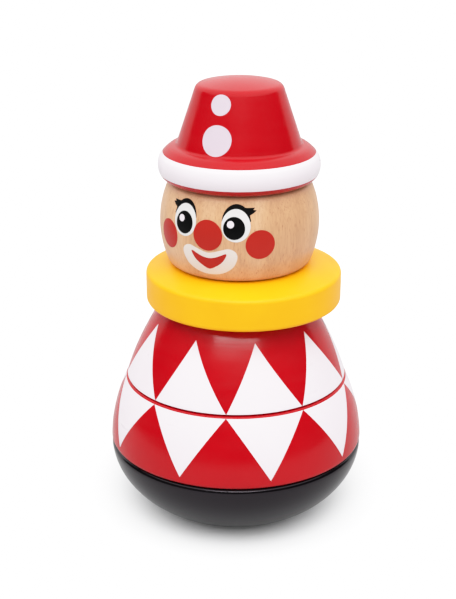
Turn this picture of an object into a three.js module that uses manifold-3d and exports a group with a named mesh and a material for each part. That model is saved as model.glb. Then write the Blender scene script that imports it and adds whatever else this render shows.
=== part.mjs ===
// Stacking clown: a weighted bowl with a dowel, and four turned pieces that lift off the dowel.
// Millimetres, +Z up, the face towards -Y, the origin at the centre of the foot.

import * as THREE from 'three';
import { mergeVertices } from 'three/addons/utils/BufferGeometryUtils.js';
import Module from 'manifold-3d';

// Bowl: half an ellipsoid of revolution, cut flat at the foot
const baseRadius = 52.5;
const bowlDepth = 35.4;
const footRadius = 20;
const shellWall = 3;
const rimEase = 0.9;

// Moulded inside of the bowl
const bossWall = 2.6;
const ribCount = 8;
const ribThickness = 2.4;
const ribHeight = 6.5;
const ballastHeadroom = 7;
const ballastEase = 1.5;

// Fastening in the foot
const screwRadius = 2.2;
const screwLength = 30;
const screwPoint = 5;
const screwHeadRadius = 4.4;
const screwHeadHeight = 2.6;
const washerRadius = 6.6;
const washerThickness = 1.2;
const plugThickness = 2;
const plugEase = 0.5;

// Lower body: a drum that draws in towards its top
const lowerBodyHeight = 28.1;
const lowerBodyCurve = 1.87;
const spigotDepth = 4;

// Upper body: a cone with slightly swollen sides
const upperBodyHeight = 32.05;
const seamRadius = 45.4;
const neckRadius = 29.8;
const upperBodySwell = 1.26;
const seamEase = 1.1;

// Collar: a thick disc with a crowned top
const collarRadius = 39.6;
const collarRim = 13.05;
const collarCrown = 2.95;
const collarEase = 1.8;

// Head: a symmetric barrel
const headRadius = 31.6;
const headHeight = 34.2;
const headSideRadius = 39.5;
const headEase = 2.6;

// Hat: a round brim under a tapered crown
const brimRadius = 31.9;
const brimHeight = 11.35;
const brimSideRadius = 11.9;
const brimSlope = 2.85;
const brimEase = 0.9;
const crownFootRadius = 24.9;
const crownTopRadius = 17.45;
const crownHeight = 22.9;
const crownDome = 2.3;
const crownEase = 2.1;
const crownFootEase = 3;
const socketDepth = 24;

// Dowel and the bores that run on it
const spindleRadius = 6.6;
const borePlay = 3.4;
const tipClearance = 3;
const mouthChamfer = 1.2;

// How each loose piece has settled on the dowel: the share of its play taken up, and which way
const collarSettle = 0.88;
const headSettle = 0.38;
const hatSettle = 0.32;
const settleAngle = THREE.MathUtils.degToRad(22.8);

// Clearances: between glued or moulded fits, and between pieces that rest on each other
const fitGap = 0.3;
const restGap = 0.3;

// Facets
const turnSegments = 48;
const pinSegments = 24;
const easeSteps = 2;

// Radii that follow from the fits
const boreRadius = spindleRadius + borePlay;
const bossInnerRadius = spindleRadius + fitGap;
const bossRadius = bossInnerRadius + bossWall;
const recessRadius = washerRadius + fitGap;
const screwHoleRadius = screwRadius + fitGap;

// Heights that follow from stacking, from the foot upwards
const rimZ = bowlDepth * Math.sqrt(1 - (footRadius / baseRadius) ** 2);
const floorZ = shellWall;
const plugTopZ = fitGap + plugThickness;
const screwHeadZ = plugTopZ + fitGap;
const washerZ = screwHeadZ + screwHeadHeight + fitGap;
const webZ = washerZ + washerThickness + fitGap;
const webTopZ = webZ + shellWall;
const ribTopZ = floorZ + ribHeight;
const lowerBodyZ = rimZ + restGap;
const spigotZ = lowerBodyZ - spigotDepth;
const seamZ = lowerBodyZ + lowerBodyHeight;
const upperBodyZ = seamZ + restGap;
const neckZ = upperBodyZ + upperBodyHeight;
const collarZ = neckZ + restGap;
const collarRimZ = collarZ + collarRim;
const collarSeatZ = collarRimZ + collarCrown;
const headZ = collarSeatZ + restGap;
const headTopZ = headZ + headHeight;
const hatZ = headTopZ + restGap;
const socketTopZ = hatZ + socketDepth;
const spindleTopZ = socketTopZ - tipClearance;

// Radius of an ellipse about the rim's centre at a height below the rim
function bowlRadius(radius, depth, z) {
  return radius * Math.sqrt(1 - ((rimZ - z) / depth) ** 2);
}

// Points along a formula, as sharp corners
function along(steps, pointAt) {
  return Array.from({ length: steps + 1 }, (_, step) => pointAt(step / steps));
}

// Profile through corners of [radius, height, ease]: an eased corner is rounded over that distance
function easedProfile(corners, closed) {
  const points = [];
  corners.forEach(([radius, height, ease = 0], index) => {
    const corner = new THREE.Vector2(radius, height);
    if (ease === 0) {
      points.push(corner);
      return;
    }
    const before = new THREE.Vector2(...corners[index - 1]).sub(corner);
    const after = new THREE.Vector2(...corners[index + 1]).sub(corner);
    const start = before.clone().setLength(Math.min(ease, before.length() / 2)).add(corner);
    const end = after.clone().setLength(Math.min(ease, after.length() / 2)).add(corner);
    points.push(...new THREE.QuadraticBezierCurve(start, corner, end).getPoints(easeSteps));
  });
  if (closed) points.push(points[0].clone());
  return points;
}

// Solid of revolution about Z; the profile runs outwards below, up the outside and back inwards
function turned(corners, { segments = turnSegments, closed = false } = {}) {
  const geometry = new THREE.LatheGeometry(easedProfile(corners, closed), segments);
  return geometry.rotateX(Math.PI / 2);
}

// Boolean union of closed geometries
const wasm = await Module();
wasm.setup();

function toSolid(geometry) {
  const bare = geometry.clone();
  bare.deleteAttribute('normal');
  bare.deleteAttribute('uv');
  const merged = mergeVertices(bare);
  const vertProperties = new Float32Array(merged.attributes.position.array);
  const triVerts = new Uint32Array(merged.index.array);
  return new wasm.Manifold(new wasm.Mesh({ numProp: 3, vertProperties, triVerts }));
}

function union(geometries) {
  const [first, ...rest] = geometries.map(toSolid);
  const mesh = rest.reduce((sum, solid) => sum.add(solid), first).getMesh();
  const geometry = new THREE.BufferGeometry();
  geometry.setAttribute('position', new THREE.BufferAttribute(mesh.vertProperties, 3));
  geometry.setIndex(new THREE.BufferAttribute(mesh.triVerts, 1));
  geometry.computeVertexNormals();
  return geometry;
}

// Bowl wall, screw recess in the foot and the boss that holds the dowel's end, as one revolve
function bowl() {
  const steps = 9;
  const innerRadius = baseRadius - shellWall;
  const innerDepth = bowlDepth - shellWall;
  const outer = along(steps, (t) => {
    const angle = THREE.MathUtils.lerp(Math.acos(footRadius / baseRadius), 0, t);
    return [baseRadius * Math.cos(angle), rimZ - bowlDepth * Math.sin(angle)];
  });
  const inner = along(steps, (t) => {
    const angle = THREE.MathUtils.lerp(0, Math.asin((rimZ - floorZ) / innerDepth), t);
    return [innerRadius * Math.cos(angle), rimZ - innerDepth * Math.sin(angle)];
  });
  outer[steps].push(rimEase);
  return turned([
    [recessRadius, 0],
    ...outer,
    ...inner,
    [bossRadius, floorZ],
    [bossRadius, spigotZ - restGap],
    [bossInnerRadius, spigotZ - restGap],
    [bossInnerRadius, webTopZ],
    [screwHoleRadius, webTopZ],
    [screwHoleRadius, webZ],
    [recessRadius, webZ],
  ], { closed: true });
}

// Rib from the boss to the wall, rooted half way into both and flat on top to carry the ballast
function rib(index) {
  const steps = 6;
  const rootRadius = bossRadius - bossWall / 2;
  const rootZ = floorZ - shellWall / 2;
  const outline = along(steps, (t) => {
    const z = THREE.MathUtils.lerp(rootZ, ribTopZ, t);
    return new THREE.Vector2(bowlRadius(baseRadius - shellWall / 2, bowlDepth - shellWall / 2, z), z);
  });
  const shape = new THREE.Shape([
    new THREE.Vector2(rootRadius, rootZ),
    ...outline,
    new THREE.Vector2(rootRadius, ribTopZ),
  ]);
  const geometry = new THREE.ExtrudeGeometry(shape, { depth: ribThickness, bevelEnabled: false });
  geometry.translate(0, 0, -ribThickness / 2);
  geometry.rotateX(Math.PI / 2);
  return geometry.rotateZ((index + 0.5) * 2 * Math.PI / ribCount);
}

function baseShell() {
  const ribs = Array.from({ length: ribCount }, (_, index) => rib(index));
  return union([bowl(), ...ribs]);
}

// Steel ring round the boss, on the ribs
function ballastRing() {
  const bottomZ = ribTopZ + restGap;
  const topZ = spigotZ - ballastHeadroom;
  const innerRadius = bossRadius + fitGap;
  const outerRadius = bowlRadius(baseRadius - shellWall, bowlDepth - shellWall, bottomZ) - fitGap;
  return turned([
    [innerRadius, bottomZ],
    [outerRadius, bottomZ, ballastEase],
    [outerRadius, topZ, ballastEase],
    [innerRadius, topZ],
  ], { closed: true });
}

function footPlug() {
  const radius = recessRadius - fitGap;
  return turned([
    [0, fitGap],
    [radius, fitGap, plugEase],
    [radius, plugTopZ],
    [0, plugTopZ],
  ], { segments: pinSegments });
}

// Pan-head screw that runs up through the washer and the web into the dowel's pilot hole
function baseScrew() {
  const headTopZ = screwHeadZ + screwHeadHeight;
  const tipZ = headTopZ + screwLength;
  return turned([
    [0, screwHeadZ],
    [screwHeadRadius, screwHeadZ, screwHeadHeight],
    [screwHeadRadius, headTopZ],
    [screwRadius, headTopZ],
    [screwRadius, tipZ - screwPoint],
    [0, tipZ],
  ], { segments: pinSegments });
}

function screwWasher() {
  return turned([
    [screwHoleRadius, washerZ],
    [washerRadius, washerZ],
    [washerRadius, washerZ + washerThickness],
    [screwHoleRadius, washerZ + washerThickness],
  ], { segments: pinSegments, closed: true });
}

// Dowel with a round top and a pilot hole for the screw in its foot
function spindle() {
  const bottomZ = webTopZ + restGap;
  const pilotTopZ = screwHeadZ + screwHeadHeight + screwLength + fitGap;
  const steps = 5;
  const tip = along(steps, (t) => {
    const angle = t * Math.PI / 2;
    return [spindleRadius * Math.cos(angle), spindleTopZ - spindleRadius * (1 - Math.sin(angle))];
  });
  return turned([
    [0, pilotTopZ],
    [screwHoleRadius, pilotTopZ],
    [screwHoleRadius, bottomZ],
    [spindleRadius, bottomZ],
    ...tip,
  ], { segments: pinSegments });
}

// Drum glued to the dowel, with a spigot that drops inside the bowl's rim
function lowerBody() {
  const steps = 7;
  const innerRadius = spindleRadius + fitGap;
  const spigotRadius = bowlRadius(baseRadius - shellWall, bowlDepth - shellWall, spigotZ) - fitGap;
  const side = along(steps, (t) => [
    THREE.MathUtils.lerp(baseRadius, seamRadius, t ** lowerBodyCurve),
    THREE.MathUtils.lerp(lowerBodyZ, seamZ, t),
  ]);
  side[0].push(rimEase);
  side[steps].push(seamEase);
  return turned([
    [innerRadius, spigotZ],
    [spigotRadius, spigotZ],
    [spigotRadius, lowerBodyZ],
    ...side,
    [innerRadius, seamZ],
  ], { closed: true });
}

// Bore mouth at the underside of a loose piece, chamfered to find the dowel
function boreMouth(z) {
  return [[boreRadius, z + mouthChamfer], [boreRadius + mouthChamfer, z]];
}

function upperBody() {
  const steps = 7;
  const side = along(steps, (t) => [
    THREE.MathUtils.lerp(seamRadius, neckRadius, t) + upperBodySwell * 4 * t * (1 - t),
    THREE.MathUtils.lerp(upperBodyZ, neckZ, t),
  ]);
  side[0].push(seamEase);
  side[steps].push(seamEase);
  return turned([
    ...boreMouth(upperBodyZ),
    ...side,
    [boreRadius, neckZ],
  ], { closed: true });
}

// Half-height of the head's flat ends is met by side arcs, so its end radius follows from them
const headEndRadius = headRadius - headSideRadius + Math.sqrt(headSideRadius ** 2 - (headHeight / 2) ** 2);

function collar() {
  const steps = 5;
  const seatRadius = headEndRadius - headEase;
  const edgeRadius = collarRadius - collarEase / 2;
  const crown = along(steps, (t) => [
    THREE.MathUtils.lerp(edgeRadius, seatRadius, t),
    collarRimZ + collarCrown * Math.sin(t * Math.PI / 2),
  ]);
  return turned([
    ...boreMouth(collarZ),
    [collarRadius, collarZ, collarEase],
    [collarRadius, collarRimZ, collarEase],
    ...crown,
    [boreRadius, collarSeatZ],
  ], { closed: true });
}

function head() {
  const steps = 10;
  const middleZ = (headZ + headTopZ) / 2;
  const reach = Math.asin(headHeight / 2 / headSideRadius);
  const side = along(steps, (t) => {
    const angle = THREE.MathUtils.lerp(-reach, reach, t);
    return [
      headRadius - headSideRadius * (1 - Math.cos(angle)),
      middleZ + headSideRadius * Math.sin(angle),
    ];
  });
  side[0].push(headEase);
  side[steps].push(headEase);
  return turned([
    ...boreMouth(headZ),
    ...side,
    [boreRadius, headTopZ],
  ], { closed: true });
}

function hat() {
  const brimSteps = 6;
  const domeSteps = 3;
  const brimTopZ = hatZ + brimHeight;
  const crownFootZ = brimTopZ + brimSlope;
  const crownTopZ = crownFootZ + crownHeight;
  const reach = Math.asin(brimHeight / 2 / brimSideRadius);
  const brim = along(brimSteps, (t) => {
    const angle = THREE.MathUtils.lerp(-reach, reach, t);
    return [
      brimRadius - brimSideRadius * (1 - Math.cos(angle)),
      hatZ + brimHeight / 2 + brimSideRadius * Math.sin(angle),
    ];
  });
  const dome = along(domeSteps, (t) => [
    crownTopRadius * (1 - t),
    crownTopZ + crownDome * (1 - (1 - t) ** 2),
  ]);
  brim[0].push(brimEase);
  brim[brimSteps].push(brimEase);
  dome[0].push(crownEase);
  return turned([
    [0, socketTopZ],
    [boreRadius, socketTopZ],
    ...boreMouth(hatZ),
    ...brim,
    [crownFootRadius, crownFootZ, crownFootEase],
    ...dome,
  ]);
}

// Finishes
const finishes = {
  blackPlastic: { color: 0x2b292b, roughness: 0.5, metalness: 0 },
  redLacquer: { color: 0xcd141e, roughness: 0.28, metalness: 0 },
  yellowLacquer: { color: 0xfdc81c, roughness: 0.28, metalness: 0 },
  beech: { color: 0xdebc9b, roughness: 0.42, metalness: 0 },
  castIron: { color: 0x55565a, roughness: 0.6, metalness: 1 },
  steel: { color: 0xb9bcc0, roughness: 0.35, metalness: 1 },
};

const group = new THREE.Group();

function addPiece(name, geometry, finish, settle = 0) {
  const mesh = new THREE.Mesh(geometry, new THREE.MeshStandardMaterial(finishes[finish]));
  mesh.name = name;
  mesh.position.set(Math.cos(settleAngle), Math.sin(settleAngle), 0).multiplyScalar(settle * borePlay);
  group.add(mesh);
}

addPiece('base_shell', baseShell(), 'blackPlastic');
addPiece('ballast_ring', ballastRing(), 'castIron');
addPiece('foot_plug', footPlug(), 'blackPlastic');
addPiece('base_screw', baseScrew(), 'steel');
addPiece('screw_washer', screwWasher(), 'steel');
addPiece('lower_body', lowerBody(), 'redLacquer');
addPiece('spindle', spindle(), 'beech');
addPiece('upper_body', upperBody(), 'redLacquer');
addPiece('collar', collar(), 'yellowLacquer', collarSettle);
addPiece('head', head(), 'beech', headSettle);
addPiece('hat', hat(), 'redLacquer', hatSettle);

export default group;
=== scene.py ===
"""Looks of a wooden stacking clown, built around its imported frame.

Lengths are millimetres until a mesh is made.
"""

import math

import bpy
import numpy as np
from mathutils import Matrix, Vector
from mathutils.geometry import delaunay_2d_cdt


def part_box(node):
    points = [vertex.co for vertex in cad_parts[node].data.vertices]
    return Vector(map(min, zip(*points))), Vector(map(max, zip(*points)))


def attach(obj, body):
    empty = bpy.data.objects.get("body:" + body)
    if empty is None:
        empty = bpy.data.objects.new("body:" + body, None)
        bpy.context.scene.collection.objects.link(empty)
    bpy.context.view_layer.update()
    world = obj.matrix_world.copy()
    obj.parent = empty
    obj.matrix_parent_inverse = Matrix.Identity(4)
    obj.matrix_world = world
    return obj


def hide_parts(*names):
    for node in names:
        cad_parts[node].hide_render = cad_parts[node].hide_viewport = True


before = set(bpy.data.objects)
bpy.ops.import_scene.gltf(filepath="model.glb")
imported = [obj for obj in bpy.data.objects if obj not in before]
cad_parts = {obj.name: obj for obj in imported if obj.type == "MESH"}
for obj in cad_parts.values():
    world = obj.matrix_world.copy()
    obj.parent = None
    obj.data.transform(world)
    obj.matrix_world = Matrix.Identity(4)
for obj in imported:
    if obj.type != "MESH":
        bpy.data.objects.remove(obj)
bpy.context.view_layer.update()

MM = 0.001


# Places that come from the frame
def box_mm(node):
    low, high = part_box(node)
    return np.array(low) / MM, np.array(high) / MM


def centre_of(node):
    low, high = box_mm(node)
    return (low[:2] + high[:2]) / 2


def levels(node):
    low, high = box_mm(node)
    return low[2], high[2]


RIM_Z = levels("base_shell")[1]
SPIGOT_Z, SEAM_Z = levels("lower_body")
UPPER_Z, NECK_Z = levels("upper_body")
COLLAR_Z, COLLAR_SEAT_Z = levels("collar")
HEAD_Z, HEAD_TOP_Z = levels("head")
HAT_Z, HAT_TOP_Z = levels("hat")
SPINDLE_Z, SPINDLE_TOP_Z = levels("spindle")
PLUG_Z, PLUG_TOP_Z = levels("foot_plug")
HEAD_MIDDLE_Z = (HEAD_Z + HEAD_TOP_Z) / 2
REST_GAP = UPPER_Z - SEAM_Z

# Turned shapes
BASE_RADIUS = 52.5
BOWL_DEPTH = 35.4
FOOT_RADIUS = 20.0
SHELL_WALL = 3.0
RIM_EASE = 2.4
DRUM_EASE = 1.6
RECESS_RADIUS = 6.9
SCREW_HOLE_RADIUS = 2.5
BOSS_WALL = 2.6
RIB_COUNT = 8
RIB_THICKNESS = 2.4
RIB_HEIGHT = 6.5
FIT_GAP = 0.3
WEB_Z = SPINDLE_Z - FIT_GAP - SHELL_WALL
PLUG_EASE = 0.5
LOWER_BODY_CURVE = 1.87
SEAM_RADIUS = 45.4
NECK_RADIUS = 29.8
UPPER_BODY_SWELL = 1.26
SEAM_EASE = 1.1
COLLAR_RADIUS = 39.6
COLLAR_CROWN = 2.95
COLLAR_EASE = 1.8
HEAD_RADIUS = 31.9
HEAD_SIDE_RADIUS = 39.5
HEAD_EASE = 2.6
BRIM_RADIUS = 32.2
BRIM_HEIGHT = 11.35
BRIM_SIDE_RADIUS = 8.0
BRIM_SLOPE = 2.25
BRIM_SWELL = 0.5
BRIM_EASE = 2.4
BRIM_TOP_EASE = 2.4
CROWN_FOOT_RADIUS = 24.9
CROWN_TOP_RADIUS = 17.0
CROWN_DOME = 2.3
CROWN_EASE = 1.8
CROWN_FOOT_EASE = 1.0
SOCKET_DEPTH = 24.0
SPINDLE_RADIUS = 6.6
BORE_RADIUS = 10.0
MOUTH_CHAMFER = 1.2

# Painted pattern of the two body pieces; angles are degrees from the face, to the viewer's right
TRIANGLES = 9
TRIANGLE_PHASE = -2.4
TRIANGLE_GAP = 0.15
UPPER_BASE_LIFT = 0.5
UPPER_APEX_DROP = 6.6
UPPER_LEAN = -2.6
UPPER_BOW = 0.4
LOWER_BASE_DROP = 0.75
LOWER_APEX_LIFT = 3.1
LOWER_BOW = 1.4

# Painted band and dots of the hat: heights above the hat's underside, and the dots' radii
BAND_LIFT = 2.75
BAND_TOP = 10.7
DOTS = ((32.4, 4.0), (19.6, 5.95))

# Painted face: millimetres across from the face's middle line and up from the head's middle
NOSE = (-0.2, 2.4)
NOSE_RADIUS = 6.0
CHEEK = (20.5, -0.8)
CHEEK_RADIUS = 5.8
EYE = (11.0, 6.75)
EYE_RADII = (5.65, 6.25)
PUPIL_SHIFT = (-0.4, -0.95)
PUPIL_CONVERGENCE = 0.3
PUPIL_RADII = (4.25, 4.36)
GLINT_SHIFT = (-1.4, 1.45)
GLINT_RADIUS = 1.38
LASH_CENTRE = (0.2, 1.75)
LASH_RADII = (5.75, 6.25)
LASH_ARC = (52.0, 180.0)
LASH_FLICK = ((4.6, 6.6), (7.7, 6.6), (6.95, 5.85), (8.35, 5.6), (7.0, 4.6), (5.5, 3.85), (5.95, 1.75))
LASH_INNER_END = (4.9, 1.0)
MOUTH_HALF = (
    (0, -4.45), (4.6, -3.3), (8.2, -2.35), (10.9, -3.6),
    (11.6, -6.2), (9.8, -10.2), (5.6, -12.95), (0, -13.85),
)
LIPS_HALF = (
    (0, -6.7), (2.7, -6.25), (5.2, -5.2), (7.0, -4.45),
    (7.3, -5.2), (5.8, -7.8), (3.3, -9.85), (0, -11.35),
)

# Paint film
FILM_LIFT = 0.04
FILM_LAYER = 0.03
FILM_ROOT = 0.1

# Mesh resolution
SEGMENTS = 256
PIN_SEGMENTS = 96
EASE_STEPS = 10
SIDE_STEPS = 48
TIP_STEPS = 16
TRIANGLE_STEPS = 24
SCREEN_STEPS = 24
SHARP_ANGLE = math.radians(40)
FILL_SPACING = 0.9
EDGE_SPACING = 0.25
NORMAL_STEP = 0.05
MERGE_DISTANCE = 1e-6
CDT_INSIDE = 1

# Camera of the photograph
VIEW_AZIMUTH = 22.8
VIEW_ELEVATION = 20.8
VIEW_DISTANCE = 542.0
VIEW_HEIGHT = 92.5
VIEW_SHIFT = -3.35
LENS = 79.43
SENSOR = 36.0
CLIP_START = 10.0

# Light and stage, in metres and watts; a sky is at its overhead strength from a height on the unit sphere
SKIES = (
    {"ray": None, "horizon": 0.42, "overhead": 1.35, "height": 1.0},
    {"ray": "Is Glossy Ray", "horizon": 0.9, "overhead": 2.0, "height": 0.9},
    {"ray": "Is Camera Ray", "horizon": 1.6, "overhead": 1.6, "height": 1.0},
)
SKY_SUN = {"elevation": 55.0, "spread": 60.0, "strength": 2.2}
SIDE_SUN = {"elevation": 45.0, "spread": 60.0, "strength": 0.9}
SIDE_SWING = 75.0
FLOOR_SUN = {"elevation": 47.0, "spread": 32.0, "strength": 1.6}
SOFTBOX = {"elevation": 41.0, "distance": 1.0, "width": 1.0, "height": 0.1, "power": 4.712}
SOFTBOX_PIECES = ("upper_cone", "lower_drum", "base_bowl", "collar_ring")
STAGE_SIZE = 20.0
FLOOR_COLOUR = (0.78, 0.78, 0.785)
GROUND_DEPTH = 0.0002
GROUND_COLOUR = (0.5, 0.5, 0.505)
SCREEN_RADIUS = 0.45
SCREEN_HEIGHT = 0.4
SCREEN_HALF_ANGLE = 112.0
SCREEN_COLOUR = (0.0, 0.0, 0.0)
TONE_WHITE = 1.45
TONE_SHOULDER = ((0.3, 0.3), (0.6, 0.6), (1.0, 0.88), (1.2, 0.95))
COMBINED_CURVE = 3

# Materials: noise scales per metre along each axis, reliefs in millimetres, and ranges that a noise spans
NOISE_RANGE = (0.3, 0.7)
LACQUER_CLOUD = (45, 45, 45)
LACQUER_STREAKS = (60, 60, 300)
LACQUER_SHEEN = (-0.03, 0.04)
LACQUER_GLOSS = 0.25
SATIN_GLOSS = 0.16
TURNING_LINES = (90, 90, 1500)
TURNING_RELIEF = 0.015
YEAR_BANDS = (95, 60, 9)
YEAR_TONES = ((0.30, (0.49, 0.27, 0.145)), (0.48, (0.58, 0.33, 0.185)), (0.68, (0.64, 0.39, 0.24)))
FIBRES = (1500, 1500, 70)
FIBRE_TONES = ((0.3, (0.86, 0.83, 0.80)), (0.6, (1.0, 1.0, 1.0)))
FIBRE_RELIEF = 0.03
FLECKS = (2400, 2400, 300)
FLECK_TONES = ((0.27, (0.76, 0.66, 0.58)), (0.35, (1.0, 1.0, 1.0)))
BEECH_ROUGHNESS = 0.38
BEECH_SHEEN = (-0.06, 0.08)
BEECH_IOR = 1.45
PLASTIC_CLOUD = (60, 60, 60)
PLASTIC_MOTTLE = (0.85, 1.15)
PLASTIC_SHEEN = (-0.03, 0.04)
PLASTIC_GRAIN = (2600, 2600, 2600)
PLASTIC_RELIEF = 0.012
PLASTIC_GLOSS = 0.35
PLASTIC_TINT = (1.0, 0.88, 1.0)
METAL_CLOUD = (220, 220, 220)
METAL_MOTTLE = (0.8, 1.1)
METAL_SHEEN = (-0.08, 0.08)
METAL_RELIEF = 0.05


def new_material(name):
    material = bpy.data.materials.new(name)
    material.use_nodes = True
    nodes = material.node_tree.nodes
    return material, nodes, material.node_tree.links, nodes["Principled BSDF"]


def stretched_noise(nodes, links, scale, detail):
    """Noise in the piece's own coordinates, with its own scale along each axis."""
    coordinates = nodes.new("ShaderNodeTexCoord")
    mapping = nodes.new("ShaderNodeMapping")
    mapping.inputs["Scale"].default_value = scale
    noise = nodes.new("ShaderNodeTexNoise")
    noise.inputs["Scale"].default_value = 1.0
    noise.inputs["Detail"].default_value = detail
    links.new(coordinates.outputs["Object"], mapping.inputs["Vector"])
    links.new(mapping.outputs["Vector"], noise.inputs["Vector"])
    return noise.outputs["Fac"]


def ramp(nodes, links, source, stops):
    """Colour ramp: stops are (position, (r, g, b))."""
    node = nodes.new("ShaderNodeValToRGB")
    elements = node.color_ramp.elements
    while len(elements) < len(stops):
        elements.new(0.5)
    for element, (position, colour) in zip(elements, stops):
        element.position = position
        element.color = (*colour, 1.0)
    links.new(source, node.inputs["Fac"])
    return node.outputs["Color"]


def spread(nodes, links, source, from_range, to_range):
    """Maps a range of the source to a range of values."""
    node = nodes.new("ShaderNodeMapRange")
    node.inputs["From Min"].default_value, node.inputs["From Max"].default_value = from_range
    node.inputs["To Min"].default_value, node.inputs["To Max"].default_value = to_range
    links.new(source, node.inputs["Value"])
    return node.outputs["Result"]


def mottle_colour(nodes, links, shader, noise, colour, factors):
    """Base colour that goes with the noise from a darker to a lighter shade."""
    shades = [tuple(min(1.0, channel * factor) for channel in colour) for factor in factors]
    links.new(ramp(nodes, links, noise, tuple(zip(NOISE_RANGE, shades))), shader.inputs["Base Color"])


def vary_roughness(nodes, links, shader, noise, roughness, sheen):
    """Roughness that goes with the noise from below to above a value."""
    limits = [roughness + change for change in sheen]
    links.new(spread(nodes, links, noise, NOISE_RANGE, limits), shader.inputs["Roughness"])


def bump(nodes, links, shader, noise, relief):
    node = nodes.new("ShaderNodeBump")
    node.inputs["Distance"].default_value = relief * MM
    node.inputs["Strength"].default_value = 1.0
    links.new(noise, node.inputs["Height"])
    links.new(node.outputs["Normal"], shader.inputs["Normal"])


def lacquer(name, colour, roughness=0.2, mottle=0.05, gloss=LACQUER_GLOSS):
    """Sprayed lacquer on turned wood: a faint mottle, and turning lines that show through."""
    material, nodes, links, shader = new_material(name)
    cloud = stretched_noise(nodes, links, LACQUER_CLOUD, detail=4)
    mottle_colour(nodes, links, shader, cloud, colour, (1 - mottle, 1 + mottle))
    streaks = stretched_noise(nodes, links, LACQUER_STREAKS, detail=3)
    vary_roughness(nodes, links, shader, streaks, roughness, LACQUER_SHEEN)
    turning = stretched_noise(nodes, links, TURNING_LINES, detail=2)
    bump(nodes, links, shader, turning, TURNING_RELIEF)
    shader.inputs["Specular IOR Level"].default_value = gloss
    return material


def beech(name):
    """Steamed beech along the dowel: broad year bands, fine fibres and short dark ray flecks."""
    material, nodes, links, shader = new_material(name)
    bands = stretched_noise(nodes, links, YEAR_BANDS, detail=4)
    fibres = stretched_noise(nodes, links, FIBRES, detail=5)
    flecks = stretched_noise(nodes, links, FLECKS, detail=1)
    wood = ramp(nodes, links, bands, YEAR_TONES)
    for noise, tones in ((fibres, FIBRE_TONES), (flecks, FLECK_TONES)):
        blend = nodes.new("ShaderNodeMixRGB")
        blend.blend_type = "MULTIPLY"
        blend.inputs["Fac"].default_value = 1.0
        links.new(wood, blend.inputs["Color1"])
        links.new(ramp(nodes, links, noise, tones), blend.inputs["Color2"])
        wood = blend.outputs["Color"]
    links.new(wood, shader.inputs["Base Color"])
    vary_roughness(nodes, links, shader, fibres, BEECH_ROUGHNESS, BEECH_SHEEN)
    bump(nodes, links, shader, fibres, FIBRE_RELIEF)
    shader.inputs["IOR"].default_value = BEECH_IOR
    return material


def moulded_plastic(name, colour, roughness):
    """Glossy moulded plastic with a fine spark-eroded texture."""
    material, nodes, links, shader = new_material(name)
    cloud = stretched_noise(nodes, links, PLASTIC_CLOUD, detail=3)
    mottle_colour(nodes, links, shader, cloud, colour, PLASTIC_MOTTLE)
    vary_roughness(nodes, links, shader, cloud, roughness, PLASTIC_SHEEN)
    grain = stretched_noise(nodes, links, PLASTIC_GRAIN, detail=2)
    bump(nodes, links, shader, grain, PLASTIC_RELIEF)
    shader.inputs["Specular IOR Level"].default_value = PLASTIC_GLOSS
    shader.inputs["Specular Tint"].default_value = (*PLASTIC_TINT, 1.0)
    return material


def metal(name, colour, roughness):
    """Plated or cast metal with a mottled finish."""
    material, nodes, links, shader = new_material(name)
    cloud = stretched_noise(nodes, links, METAL_CLOUD, detail=5)
    mottle_colour(nodes, links, shader, cloud, colour, METAL_MOTTLE)
    vary_roughness(nodes, links, shader, cloud, roughness, METAL_SHEEN)
    bump(nodes, links, shader, cloud, METAL_RELIEF)
    shader.inputs["Metallic"].default_value = 1.0
    return material


RED = lacquer("red_lacquer", (0.385, 0.0008, 0.005))
YELLOW = lacquer("yellow_lacquer", (0.92, 0.39, 0.002), 0.42, gloss=SATIN_GLOSS)
WHITE = lacquer("white_paint", (0.70, 0.635, 0.675), 0.3, 0.012)
EYE_WHITE = lacquer("eye_white_paint", (0.62, 0.61, 0.60), 0.34, 0.02)
MOUTH_WHITE = lacquer("mouth_white_paint", (0.65, 0.59, 0.55), 0.34, 0.02)
FACE_RED = lacquer("face_red_paint", (0.38, 0.016, 0.010), 0.34, 0.06, SATIN_GLOSS)
FACE_BLACK = lacquer("face_black_paint", (0.003, 0.003, 0.003), 0.34, gloss=SATIN_GLOSS)
# Hat dots: the white paint made darker as painted shade, standing in for the shade on the hat's steep crown
SHADED_DOT_WHITE = lacquer("dot_white_paint_painted_shade", (0.55, 0.465, 0.53), 0.3, 0.012)
BEECH = beech("beech")
BLACK = moulded_plastic("black_shell", (0.003, 0.0025, 0.003), 0.12)
IRON = metal("ballast_iron", (0.1, 0.1, 0.11), 0.6)
STEEL = metal("fastener_steel", (0.5, 0.5, 0.52), 0.35)


# Profiles: lists of (radius, height)
def along(steps, point_at):
    return [point_at(step / steps) for step in range(steps + 1)]


def mix(start, end, share):
    return start + (end - start) * share


def walk(points, index, step, distance):
    """Place a distance along the points from an index, and the index of the first point past it."""
    here = points[index]
    while True:
        ahead = points[index + step]
        gap = (ahead - here).length
        if gap >= distance:
            return here.lerp(ahead, distance / gap), index + step
        distance -= gap
        index += step
        here = ahead


def eased(corners):
    """Profile through corners of (radius, height) or (radius, height, ease).

    An eased corner is rounded over that distance along the profile to either side.
    """
    points = [Vector(corner[:2]) for corner in corners]
    profile = []
    kept = 0
    for index, corner in enumerate(corners):
        if len(corner) < 3:
            continue
        start, before = walk(points, index, -1, corner[2])
        end, after = walk(points, index, 1, corner[2])
        profile += points[kept:before + 1]
        tip = points[index]
        profile += along(EASE_STEPS, lambda t: start.lerp(tip, t).lerp(tip.lerp(end, t), t))
        kept = after
    return profile + points[kept:]


def rounded(side, first, last):
    """A side whose ends are rounded into the flats that run inwards from them."""
    low, high = (0.0, side[0][1]), (0.0, side[-1][1])
    return eased([low, (*side[0], first), *side[1:-1], (*side[-1], last), high])[1:-1]


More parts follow.
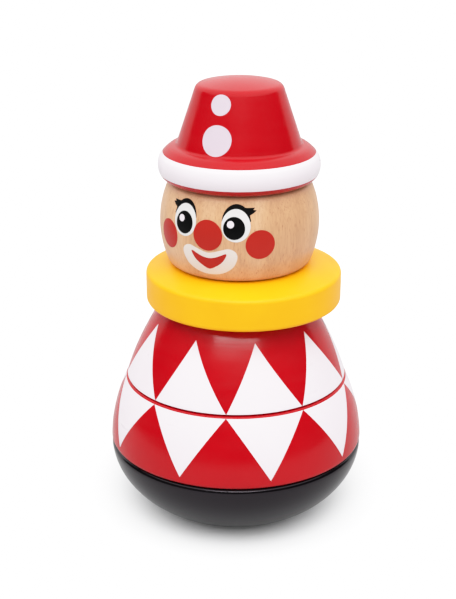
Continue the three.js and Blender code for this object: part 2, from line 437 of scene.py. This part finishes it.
# Meshes
def add_mesh(name, vertices, faces, materials, material_of=None):
    mesh = bpy.data.meshes.new(name)
    mesh.from_pydata((np.array(vertices) * MM).tolist(), [], faces)
    mesh.polygons.foreach_set("use_smooth", [True] * len(mesh.polygons))
    mesh.set_sharp_from_angle(angle=SHARP_ANGLE)
    for material in materials:
        mesh.materials.append(material)
    if material_of is not None:
        mesh.polygons.foreach_set("material_index", material_of)
    mesh.validate()
    piece = bpy.data.objects.new(name, mesh)
    bpy.context.scene.collection.objects.link(piece)
    return piece


def turned(name, profile, centre=(0, 0), segments=SEGMENTS, closed=False, materials=(), bore=None):
    """Solid of revolution. Faces within bore, a radius and a top height, take the second material."""
    rings, vertices = [], []
    for radius, height in profile:
        count = 1 if radius < MERGE_DISTANCE else segments
        angles = [2 * math.pi * step / segments for step in range(count)]
        rings.append(range(len(vertices), len(vertices) + count))
        vertices += [
            (centre[0] + radius * math.cos(angle), centre[1] + radius * math.sin(angle), height)
            for angle in angles
        ]
    faces, material_of = [], []
    last = len(profile) if closed else len(profile) - 1
    for index in range(last):
        lower, upper = rings[index], rings[(index + 1) % len(profile)]
        ends = np.array([profile[index], profile[(index + 1) % len(profile)]])
        bored = bore is not None and bool((ends.max(0) <= np.array(bore) + FIT_GAP / 10).all())
        for step in range(segments):
            after = (step + 1) % segments
            corners = [lower[step % len(lower)], lower[after % len(lower)]]
            corners += [upper[after % len(upper)], upper[step % len(upper)]]
            faces.append(list(dict.fromkeys(corners)))
            material_of.append(int(bored))
    return add_mesh(name, vertices, faces, materials, material_of)


class Side:
    """Outer side of a turned piece, for painting: a place is an angle from the face and a length up it."""

    def __init__(self, outline, centre):
        self.points = np.array([tuple(point) for point in outline])
        self.centre = centre
        steps = np.linalg.norm(np.diff(self.points, axis=0), axis=1)
        self.arc = np.concatenate([[0.0], np.cumsum(steps)])

    def arc_at(self, height):
        return np.interp(height, self.points[:, 1], self.arc)

    def radius_at(self, height):
        return np.interp(height, self.points[:, 1], self.points[:, 0])

    def point_at(self, arc):
        """Radius and height at a length up the side."""
        return np.array([np.interp(arc, self.arc, self.points[:, axis]) for axis in (0, 1)])

    def lifted(self, arc, lift):
        """Radius and height at a length up the side, lifted off along the side's normal."""
        rise = self.point_at(arc + NORMAL_STEP) - self.point_at(arc - NORMAL_STEP)
        outward = np.array((rise[1], -rise[0])) / np.linalg.norm(rise)
        return self.point_at(arc) + lift * outward

    def place(self, angle, arc, lift):
        radius, height = self.lifted(arc, lift)
        across, ahead = radius * math.sin(angle), radius * math.cos(angle)
        return self.centre[0] + across, self.centre[1] - ahead, height


# Painted films
def inside(point, loop):
    within = False
    for (x0, y0), (x1, y1) in zip(loop, loop[1:] + loop[:1]):
        if (y0 > point[1]) != (y1 > point[1]):
            within ^= point[0] < x0 + (point[1] - y0) / (y1 - y0) * (x1 - x0)
    return within


def resampled(loop, spacing):
    """The closed loop with extra points, so that no edge is longer than the spacing."""
    points = []
    for start, end in zip(loop, loop[1:] + loop[:1]):
        pieces = max(1, math.ceil(math.dist(start, end) / spacing))
        for piece in range(pieces):
            share = piece / pieces
            points.append((mix(start[0], end[0], share), mix(start[1], end[1], share)))
    return points


def filled(loop):
    """Points and triangles that fill a closed loop evenly."""
    edge = resampled(loop, EDGE_SPACING)
    edge_array = np.array(edge)
    low, high = edge_array.min(0), edge_array.max(0)
    points = list(edge)
    rows = int((high[1] - low[1]) / FILL_SPACING) + 1
    columns = int((high[0] - low[0]) / FILL_SPACING) + 2
    for row in range(rows):
        for column in range(columns):
            x = low[0] + (column + 0.5 * (row % 2)) * FILL_SPACING
            point = (x, low[1] + (row + 0.5) * FILL_SPACING)
            clear = np.min(np.linalg.norm(edge_array - point, axis=1)) > FILL_SPACING / 3
            if clear and inside(point, edge):
                points.append(point)
    rim = [(index, (index + 1) % len(edge)) for index in range(len(edge))]
    result = delaunay_2d_cdt([Vector(point) for point in points], rim, [], CDT_INSIDE, MERGE_DISTANCE)
    return [tuple(point) for point in result[0]], [tuple(face) for face in result[2]], rim


def painted(name, loops, place, layer, material):
    """Thin closed films of paint: each loop is filled and laid on a surface by place(x, y, lift)."""
    vertices, faces = [], []
    for loop in loops:
        points, triangles, rim = filled(loop)
        top = len(vertices)
        root = top + len(points)
        vertices += [place(x, y, FILM_LIFT + layer * FILM_LAYER) for x, y in points]
        vertices += [place(x, y, -FILM_ROOT) for x, y in points]
        faces += [tuple(top + corner for corner in face) for face in triangles]
        faces += [tuple(root + corner for corner in reversed(face)) for face in triangles]
        faces += [(top + b, top + a, root + a, root + b) for a, b in rim]
    return add_mesh(name, vertices, faces, [material])


def ellipse(centre, radii, start=0.0, end=360.0, steps=72):
    """Points round an ellipse, anticlockwise from start to end in degrees."""
    angles = [math.radians(mix(start, end, step / steps)) for step in range(steps + (end - start < 360))]
    return [(centre[0] + radii[0] * math.cos(a), centre[1] + radii[1] * math.sin(a)) for a in angles]


def disc(centre, radius):
    return ellipse(centre, (radius, radius))


def smooth_loop(controls, steps=10):
    """Closed curve through its control points."""
    count = len(controls)
    points = []
    for index in range(count):
        a, b, c, d = (np.array(controls[(index + shift) % count], float) for shift in (-1, 0, 1, 2))
        for step in range(steps):
            t = step / steps
            bend = (2 * a - 5 * b + 4 * c - d) * t * t + (3 * b - a - 3 * c + d) * t ** 3
            points.append(tuple(b + 0.5 * ((c - a) * t + bend)))
    return points


def mirrored(half):
    """Closed outline, anticlockwise, from its right half, which is listed from top to foot."""
    right = list(reversed(half))
    return right + [(-x, y) for x, y in half[1:-1]]


def anticlockwise(loop):
    area = sum(x0 * y1 - x1 * y0 for (x0, y0), (x1, y1) in zip(loop, loop[1:] + loop[:1]))
    return loop if area > 0 else loop[::-1]


def finish_piece(piece, body, slot, *nodes):
    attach(piece, body)
    if nodes:
        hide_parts(*nodes)


# Base: bowl, ribs, plug, dowel and drum
def bowl_inside(height):
    """Inner radius of the bowl at a height."""
    depth = (RIM_Z - height) / (BOWL_DEPTH - SHELL_WALL)
    return (BASE_RADIUS - SHELL_WALL) * math.sqrt(1 - depth ** 2)


def make_ribs():
    """Radial ribs on the bowl's floor, from the boss out to the wall, which carry the ballast."""
    top = SHELL_WALL + RIB_HEIGHT
    inner = SPINDLE_RADIUS + FIT_GAP + BOSS_WALL
    section = (
        (inner, SHELL_WALL),
        (bowl_inside(SHELL_WALL), SHELL_WALL),
        (bowl_inside(top), top),
        (inner, top),
    )
    vertices, faces = [], []
    for index in range(RIB_COUNT):
        angle = 2 * math.pi * index / RIB_COUNT
        ahead = np.array((math.cos(angle), math.sin(angle)))
        across = np.array((-ahead[1], ahead[0])) * RIB_THICKNESS / 2
        first = len(vertices)
        vertices += [(*(ahead * radius - across), height) for radius, height in section]
        vertices += [(*(ahead * radius + across), height) for radius, height in section]
        near, far = [first + n for n in range(4)], [first + 4 + n for n in range(4)]
        faces += [near, far[::-1]]
        faces += [(near[n], far[n], far[(n + 1) % 4], near[(n + 1) % 4]) for n in range(4)]
    ribs = add_mesh("base_ribs", vertices, faces, [BLACK])
    ribs.data.polygons.foreach_set("use_smooth", [False] * len(ribs.data.polygons))
    finish_piece(ribs, "base", "black_shell")


def make_base():
    make_ribs()
    inner_radius, inner_depth = BASE_RADIUS - SHELL_WALL, BOWL_DEPTH - SHELL_WALL
    outer_end = math.acos(FOOT_RADIUS / BASE_RADIUS)
    inner_end = math.asin((RIM_Z - SHELL_WALL) / inner_depth)
    outer = along(SIDE_STEPS, lambda t: (
        BASE_RADIUS * math.cos(outer_end * (1 - t)),
        RIM_Z - BOWL_DEPTH * math.sin(outer_end * (1 - t)),
    ))
    inner = along(SIDE_STEPS, lambda t: (
        inner_radius * math.cos(inner_end * t),
        RIM_Z - inner_depth * math.sin(inner_end * t),
    ))
    boss_inner = SPINDLE_RADIUS + FIT_GAP
    shell = turned("base_bowl", eased([
        (RECESS_RADIUS, 0.0),
        *outer[:-1],
        (*outer[-1], RIM_EASE),
        *inner,
        (boss_inner + BOSS_WALL, SHELL_WALL),
        (boss_inner + BOSS_WALL, SPIGOT_Z - REST_GAP),
        (boss_inner, SPIGOT_Z - REST_GAP),
        (boss_inner, WEB_Z + SHELL_WALL),
        (SCREW_HOLE_RADIUS, WEB_Z + SHELL_WALL),
        (SCREW_HOLE_RADIUS, WEB_Z),
        (RECESS_RADIUS, WEB_Z),
    ]), closed=True, materials=[BLACK])
    plug_radius = RECESS_RADIUS - FIT_GAP
    plug = turned("foot_cap", eased([
        (0.0, PLUG_Z),
        (plug_radius, PLUG_Z, PLUG_EASE),
        (plug_radius, PLUG_TOP_Z),
        (0.0, PLUG_TOP_Z),
    ]), segments=PIN_SEGMENTS, materials=[BLACK])
    tip = along(TIP_STEPS, lambda t: (
        SPINDLE_RADIUS * math.cos(t * math.pi / 2) * (t < 1),
        SPINDLE_TOP_Z - SPINDLE_RADIUS * (1 - math.sin(t * math.pi / 2)),
    ))
    pilot_top = levels("base_screw")[1] + FIT_GAP
    dowel = turned("dowel", eased([
        (0.0, pilot_top),
        (SCREW_HOLE_RADIUS, pilot_top),
        (SCREW_HOLE_RADIUS, SPINDLE_Z),
        (SPINDLE_RADIUS, SPINDLE_Z),
        *tip,
    ]), segments=PIN_SEGMENTS, materials=[BEECH])
    finish_piece(shell, "base", "black_shell", "base_shell")
    finish_piece(plug, "base", "black_shell", "foot_plug")
    finish_piece(dowel, "base", "beech", "spindle")


def make_lower_body():
    bottom = RIM_Z + REST_GAP
    spigot_radius = bowl_inside(SPIGOT_Z) - FIT_GAP
    side = along(SIDE_STEPS, lambda t: (
        mix(BASE_RADIUS, SEAM_RADIUS, t ** LOWER_BODY_CURVE),
        mix(bottom, SEAM_Z, t),
    ))
    outline = rounded(side, DRUM_EASE, SEAM_EASE)
    bore = SPINDLE_RADIUS + FIT_GAP
    drum = turned("lower_drum", [
        (bore, SPIGOT_Z),
        (spigot_radius, SPIGOT_Z),
        (spigot_radius, bottom),
        *outline,
        (bore, SEAM_Z),
    ], closed=True, materials=[RED, BEECH], bore=(bore, SEAM_Z))
    finish_piece(drum, "base", "red_lacquer", "lower_body")
    surface = Side(outline, (0.0, 0.0))
    base, apex = SEAM_Z - LOWER_BASE_DROP, bottom + LOWER_APEX_LIFT
    paint_triangles("lower_triangles", surface, base, apex, 0.0, LOWER_BOW, "base")


def make_upper_body():
    centre = centre_of("upper_body")
    side = along(SIDE_STEPS, lambda t: (
        mix(SEAM_RADIUS, NECK_RADIUS, t) + UPPER_BODY_SWELL * 4 * t * (1 - t),
        mix(UPPER_Z, NECK_Z, t),
    ))
    outline = rounded(side, SEAM_EASE, SEAM_EASE)
    cone = turned("upper_cone", [
        *bore_mouth(UPPER_Z),
        *outline,
        (BORE_RADIUS, NECK_Z),
    ], centre, closed=True, materials=[RED, BEECH], bore=(BORE_RADIUS, NECK_Z))
    finish_piece(cone, "upper_body", "red_lacquer", "upper_body")
    surface = Side(outline, centre)
    base, apex = UPPER_Z + UPPER_BASE_LIFT, NECK_Z - UPPER_APEX_DROP
    paint_triangles("upper_triangles", surface, base, apex, UPPER_LEAN, UPPER_BOW, "upper_body")


def bore_mouth(height):
    """Mouth of a loose piece's bore, chamfered to find the dowel."""
    return [(BORE_RADIUS, height + MOUTH_CHAMFER), (BORE_RADIUS + MOUTH_CHAMFER, height)]


def paint_triangles(name, surface, base, apex, lean, bow, body):
    """Ring of white triangles whose bases meet along the seam. Outlines are millimetres across and up."""
    base_radius = surface.radius_at(base)
    half = math.radians(180 / TRIANGLES - TRIANGLE_GAP)

    def half_width(share):
        height = mix(base, apex, share)
        return half * (1 - share) * (base_radius / surface.radius_at(height)) ** bow

    right, left = [], []
    for step in range(TRIANGLE_STEPS):
        share = step / TRIANGLE_STEPS
        middle = math.radians(lean) * share
        height = mix(base, apex, share)
        right.append(((middle + half_width(share)) * base_radius, height))
        left.append(((middle - half_width(share)) * base_radius, height))
    loop = anticlockwise(right + [(math.radians(lean) * base_radius, apex)] + left[::-1])
    films = []
    for index in range(TRIANGLES):
        turn = math.radians(TRIANGLE_PHASE + index * 360 / TRIANGLES) * base_radius
        films.append([(x + turn, y) for x, y in loop])
    film = painted(
        name, films, lambda x, y, lift: surface.place(x / base_radius, surface.arc_at(y), lift), 0, WHITE)
    finish_piece(film, body, "white_paint")


# Collar
def make_collar():
    rim = COLLAR_SEAT_Z - COLLAR_CROWN
    half_height = (HEAD_TOP_Z - HEAD_Z) / 2
    end_radius = HEAD_RADIUS - HEAD_SIDE_RADIUS + math.sqrt(HEAD_SIDE_RADIUS ** 2 - half_height ** 2)
    crown = along(SIDE_STEPS, lambda t: (
        mix(COLLAR_RADIUS - COLLAR_EASE / 2, end_radius - HEAD_EASE, t),
        rim + COLLAR_CROWN * math.sin(t * math.pi / 2),
    ))
    ring = turned("collar_ring", eased([
        *bore_mouth(COLLAR_Z),
        (COLLAR_RADIUS, COLLAR_Z, COLLAR_EASE),
        (COLLAR_RADIUS, rim, COLLAR_EASE),
        *crown,
        (BORE_RADIUS, COLLAR_SEAT_Z),
    ]), centre_of("collar"), closed=True, materials=[YELLOW, BEECH], bore=(BORE_RADIUS, COLLAR_SEAT_Z))
    finish_piece(ring, "collar", "yellow_lacquer", "collar")


# Head and face
def make_head():
    centre = centre_of("head")
    reach = math.asin((HEAD_TOP_Z - HEAD_Z) / 2 / HEAD_SIDE_RADIUS)
    side = along(SIDE_STEPS, lambda t: (
        HEAD_RADIUS - HEAD_SIDE_RADIUS * (1 - math.cos(mix(-reach, reach, t))),
        HEAD_MIDDLE_Z + HEAD_SIDE_RADIUS * math.sin(mix(-reach, reach, t)),
    ))
    outline = rounded(side, HEAD_EASE, HEAD_EASE)
    barrel = turned("head_barrel", [
        *bore_mouth(HEAD_Z),
        *outline,
        (BORE_RADIUS, HEAD_TOP_Z),
    ], centre, closed=True, materials=[BEECH])
    finish_piece(barrel, "head", "beech", "head")
    paint_face(Side(outline, centre))


def paint_face(surface):
    def place(x, y, lift):
        return surface.place(x / HEAD_RADIUS, surface.arc_at(HEAD_MIDDLE_Z + y), lift)

    def paint(name, loops, layer, material, slot):
        film = painted(name, [anticlockwise(loop) for loop in loops], place, layer, material)
        finish_piece(film, "head", slot)

    sides = (-1, 1)
    eyes = [(side * EYE[0], EYE[1]) for side in sides]
    pupils = [
        (eye[0] + PUPIL_SHIFT[0] - side * PUPIL_CONVERGENCE, eye[1] + PUPIL_SHIFT[1])
        for side, eye in zip(sides, eyes)
    ]
    glints = [(x + GLINT_SHIFT[0], y + GLINT_SHIFT[1]) for x, y in pupils]
    lash = ellipse(LASH_CENTRE, LASH_RADII, *LASH_ARC)[::-1] + list(LASH_FLICK)
    lash += [LASH_INNER_END, (-LASH_INNER_END[0], LASH_INNER_END[1])]
    lashes = [[(eye[0] + side * x, eye[1] + y) for x, y in lash] for side, eye in zip(sides, eyes)]
    cheeks = [disc((side * CHEEK[0], CHEEK[1]), CHEEK_RADIUS) for side in sides]
    paint("face_lashes", lashes, 0, FACE_BLACK, "black_paint")
    paint("face_cheeks", cheeks, 0, FACE_RED, "red_paint")
    paint("face_mouth", [smooth_loop(mirrored(MOUTH_HALF))], 0, MOUTH_WHITE, "white_paint")
    paint("face_lips", [smooth_loop(mirrored(LIPS_HALF))], 1, FACE_RED, "red_paint")
    paint("face_eyes", [ellipse(eye, EYE_RADII) for eye in eyes], 1, EYE_WHITE, "white_paint")
    paint("face_pupils", [ellipse(pupil, PUPIL_RADII) for pupil in pupils], 2, FACE_BLACK, "black_paint")
    paint("face_glints", [disc(glint, GLINT_RADIUS) for glint in glints], 3, WHITE, "white_paint")
    paint("face_nose", [disc(NOSE, NOSE_RADIUS)], 3, FACE_RED, "red_paint")


# Hat
def make_hat():
    centre = centre_of("hat")
    brim_top = HAT_Z + BRIM_HEIGHT
    crown_foot = brim_top + BRIM_SLOPE
    crown_top = HAT_TOP_Z - CROWN_DOME
    reach = math.asin(BRIM_HEIGHT / 2 / BRIM_SIDE_RADIUS)
    brim = along(SIDE_STEPS, lambda t: (
        BRIM_RADIUS - BRIM_SIDE_RADIUS * (1 - math.cos(mix(-reach, reach, t))),
        HAT_Z + BRIM_HEIGHT / 2 + BRIM_SIDE_RADIUS * math.sin(mix(-reach, reach, t)),
    ))
    roll = along(SIDE_STEPS, lambda t: (
        mix(brim[-1][0], CROWN_FOOT_RADIUS, t),
        mix(brim_top, crown_foot, t) + BRIM_SWELL * 4 * t * (1 - t),
    ))
    dome = along(SIDE_STEPS, lambda t: (
        CROWN_TOP_RADIUS * (1 - t),
        crown_top + CROWN_DOME * (1 - (1 - t) ** 2),
    ))
    outline = eased([
        (BORE_RADIUS, HAT_Z),
        (*brim[0], BRIM_EASE),
        *brim[1:-1],
        (*brim[-1], BRIM_TOP_EASE),
        *roll[1:-1],
        (*roll[-1], CROWN_FOOT_EASE),
        (*dome[0], CROWN_EASE),
        *dome[1:],
    ])[1:]
    cap = turned("hat_cap", [
        (0.0, HAT_Z + SOCKET_DEPTH),
        (BORE_RADIUS, HAT_Z + SOCKET_DEPTH),
        *bore_mouth(HAT_Z),
        *outline,
    ], centre, materials=[RED, BEECH], bore=(BORE_RADIUS, HAT_Z + SOCKET_DEPTH))
    finish_piece(cap, "hat", "red_lacquer", "hat")
    surface = Side(outline, centre)
    paint_band(surface)
    for index, (height, radius) in enumerate(DOTS):
        paint_dot(f"hat_dot_{index + 1}", surface, HAT_Z + height, radius)


def paint_dot(name, surface, height, radius):
    """White dot over the face's middle line, round as measured along the hat's side, in a white paint
    darkened by painted shade.
    """
    middle = surface.arc_at(height)

    def place(x, y, lift):
        arc = middle + y
        return surface.place(x / surface.point_at(arc)[0], arc, lift)

    film = painted(name, [disc((0.0, 0.0), radius)], place, 0, SHADED_DOT_WHITE)
    finish_piece(film, "hat", "white_paint")


def paint_band(surface):
    """White ring of paint round the brim, above a red lower edge."""
    low, high = surface.arc_at(HAT_Z + BAND_LIFT), surface.arc_at(HAT_Z + BAND_TOP)
    outside = along(SIDE_STEPS, lambda t: surface.lifted(mix(low, high, t), FILM_LIFT))
    root = along(SIDE_STEPS, lambda t: surface.lifted(mix(high, low, t), -FILM_ROOT))
    band = turned("hat_band", outside + root, surface.centre, closed=True, materials=[WHITE])
    finish_piece(band, "hat", "white_paint")


# Inner pieces keep their solids and take a finish
def finish_inner_pieces():
    for node, material in (("ballast_ring", IRON), ("base_screw", STEEL), ("screw_washer", STEEL)):
        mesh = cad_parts[node].data
        mesh.materials.clear()
        mesh.materials.append(material)


# Stage, light and camera
def view_direction(elevation, swing=0.0):
    """Unit vector from the toy at an elevation, swung to the right of the photograph's side, in degrees."""
    azimuth, elevation = math.radians(VIEW_AZIMUTH + swing), math.radians(elevation)
    level = math.cos(elevation)
    return Vector((math.sin(azimuth) * level, -math.cos(azimuth) * level, math.sin(elevation)))


def add_stage(name, vertices, faces, colour):
    mesh = bpy.data.meshes.new(name)
    mesh.from_pydata(vertices, [], faces)
    material, *_, shader = new_material(name)
    shader.inputs["Base Color"].default_value = (*colour, 1.0)
    shader.inputs["Roughness"].default_value = 1.0
    shader.inputs["Specular IOR Level"].default_value = 0.0
    mesh.materials.append(material)
    piece = bpy.data.objects.new(name, mesh)
    bpy.context.scene.collection.objects.link(piece)
    return piece


def add_plane(name, height, colour):
    corners = [(x * STAGE_SIZE, y * STAGE_SIZE, height) for x, y in ((-1, -1), (1, -1), (1, 1), (-1, 1))]
    return add_stage(name, corners, [(0, 1, 2, 3)], colour)


def make_stage():
    """White floor that only the camera sees, over a greyer ground that light and reflections see."""
    floor = add_plane("floor", 0.0, FLOOR_COLOUR)
    floor.visible_diffuse = False
    floor.visible_glossy = False
    floor.visible_shadow = False
    ground = add_plane("ground", -GROUND_DEPTH, GROUND_COLOUR)
    ground.visible_camera = False
    add_screen()
    return floor


def add_screen():
    """Dark screen round the camera's side that only reflections see."""
    vertices, faces = [], []
    for step in range(SCREEN_STEPS + 1):
        swing = mix(-SCREEN_HALF_ANGLE, SCREEN_HALF_ANGLE, step / SCREEN_STEPS)
        angle = math.radians(VIEW_AZIMUTH + swing)
        foot = (SCREEN_RADIUS * math.sin(angle), -SCREEN_RADIUS * math.cos(angle))
        vertices += [(*foot, 0.0), (*foot, SCREEN_HEIGHT)]
    for step in range(SCREEN_STEPS):
        faces.append((2 * step, 2 * step + 2, 2 * step + 3, 2 * step + 1))
    screen = add_stage("screen", vertices, faces, SCREEN_COLOUR)
    screen.visible_camera = False
    screen.visible_diffuse = False
    screen.visible_shadow = False
    screen.visible_transmission = False


def make_light(floor):
    scene = bpy.context.scene
    scene.world = bpy.data.worlds.new("studio")
    scene.world.use_nodes = True
    make_sky(scene.world.node_tree)
    add_sun("sky_sun", **SKY_SUN)
    add_sun("left_sun", swing=-SIDE_SWING, **SIDE_SUN)
    add_sun("right_sun", swing=SIDE_SWING, **SIDE_SUN)
    light_only(add_sun("floor_sun", **FLOOR_SUN), [floor])
    light_only(add_softbox(**SOFTBOX), [bpy.data.objects[name] for name in SOFTBOX_PIECES])
    develop(scene.view_settings)


def light_only(light, receivers):
    """Lets a light reach some objects only."""
    light.light_linking.receiver_collection = bpy.data.collections.new(f"lit_by_{light.name}")
    for receiver in receivers:
        light.light_linking.receiver_collection.objects.link(receiver)


def make_sky(tree):
    """White sky that brightens upwards; the first one serves the rays that have none of their own."""
    nodes, links = tree.nodes, tree.links
    direction = nodes.new("ShaderNodeTexCoord")
    split = nodes.new("ShaderNodeSeparateXYZ")
    links.new(direction.outputs["Generated"], split.inputs["Vector"])
    path = nodes.new("ShaderNodeLightPath")
    nodes.remove(nodes["Background"])
    for sky in SKIES:
        heights, strengths = (0.0, sky["height"]), (sky["horizon"], sky["overhead"])
        background = nodes.new("ShaderNodeBackground")
        background.inputs["Color"].default_value = (1.0, 1.0, 1.0, 1.0)
        strength = spread(nodes, links, split.outputs["Z"], heights, strengths)
        links.new(strength, background.inputs["Strength"])
        if sky["ray"] is None:
            shader = background.outputs["Background"]
            continue
        choice = nodes.new("ShaderNodeMixShader")
        links.new(path.outputs[sky["ray"]], choice.inputs["Fac"])
        links.new(shader, choice.inputs[1])
        links.new(background.outputs["Background"], choice.inputs[2])
        shader = choice.outputs["Shader"]
    links.new(shader, nodes["World Output"].inputs["Surface"])


def add_sun(name, elevation, spread, strength, swing=0.0):
    """Broad soft light, swung from the photograph's side, that reflections don't show."""
    data = bpy.data.lights.new(name, "SUN")
    data.angle = math.radians(spread)
    data.energy = strength
    sun = bpy.data.objects.new(name, data)
    sun.rotation_euler = (-view_direction(elevation, swing)).to_track_quat("-Z", "Y").to_euler()
    sun.visible_glossy = False
    bpy.context.scene.collection.objects.link(sun)
    return sun


def add_softbox(elevation, distance, width, height, power):
    """Bright panel above the camera that only reflections show."""
    data = bpy.data.lights.new("softbox", "AREA")
    data.shape = "ELLIPSE"
    data.size = width
    data.size_y = height
    data.energy = power
    panel = bpy.data.objects.new("softbox", data)
    towards = view_direction(elevation)
    panel.location = Vector((0, 0, VIEW_HEIGHT * MM)) + towards * distance
    panel.rotation_euler = (-towards).to_track_quat("-Z", "Y").to_euler()
    panel.visible_camera = False
    panel.visible_diffuse = False
    bpy.context.scene.collection.objects.link(panel)
    return panel


def develop(settings):
    """Plain tones with a soft shoulder: the lit floor turns white, and white paint stays just below it."""
    settings.view_transform = "Standard"
    settings.use_curve_mapping = True
    mapping = settings.curve_mapping
    mapping.white_level = (TONE_WHITE, TONE_WHITE, TONE_WHITE)
    mapping.extend = "HORIZONTAL"
    for light, tone in TONE_SHOULDER:
        mapping.curves[COMBINED_CURVE].points.new(light / TONE_WHITE, tone)
    mapping.update()


def make_camera():
    ahead = -view_direction(VIEW_ELEVATION)
    right = ahead.cross(Vector((0, 0, 1))).normalized()
    target = Vector((0, 0, VIEW_HEIGHT)) + right * VIEW_SHIFT
    data = bpy.data.cameras.new("camera")
    data.lens = LENS
    data.sensor_fit = "VERTICAL"
    data.sensor_height = SENSOR
    data.clip_start = CLIP_START * MM
    camera = bpy.data.objects.new("camera", data)
    camera.location = (target - ahead * VIEW_DISTANCE) * MM
    camera.rotation_euler = ahead.to_track_quat("-Z", "Y").to_euler()
    bpy.context.scene.collection.objects.link(camera)
    bpy.context.scene.camera = camera


make_camera()
make_base()
make_lower_body()
make_upper_body()
make_collar()
make_head()
make_hat()
finish_inner_pieces()
make_light(make_stage())
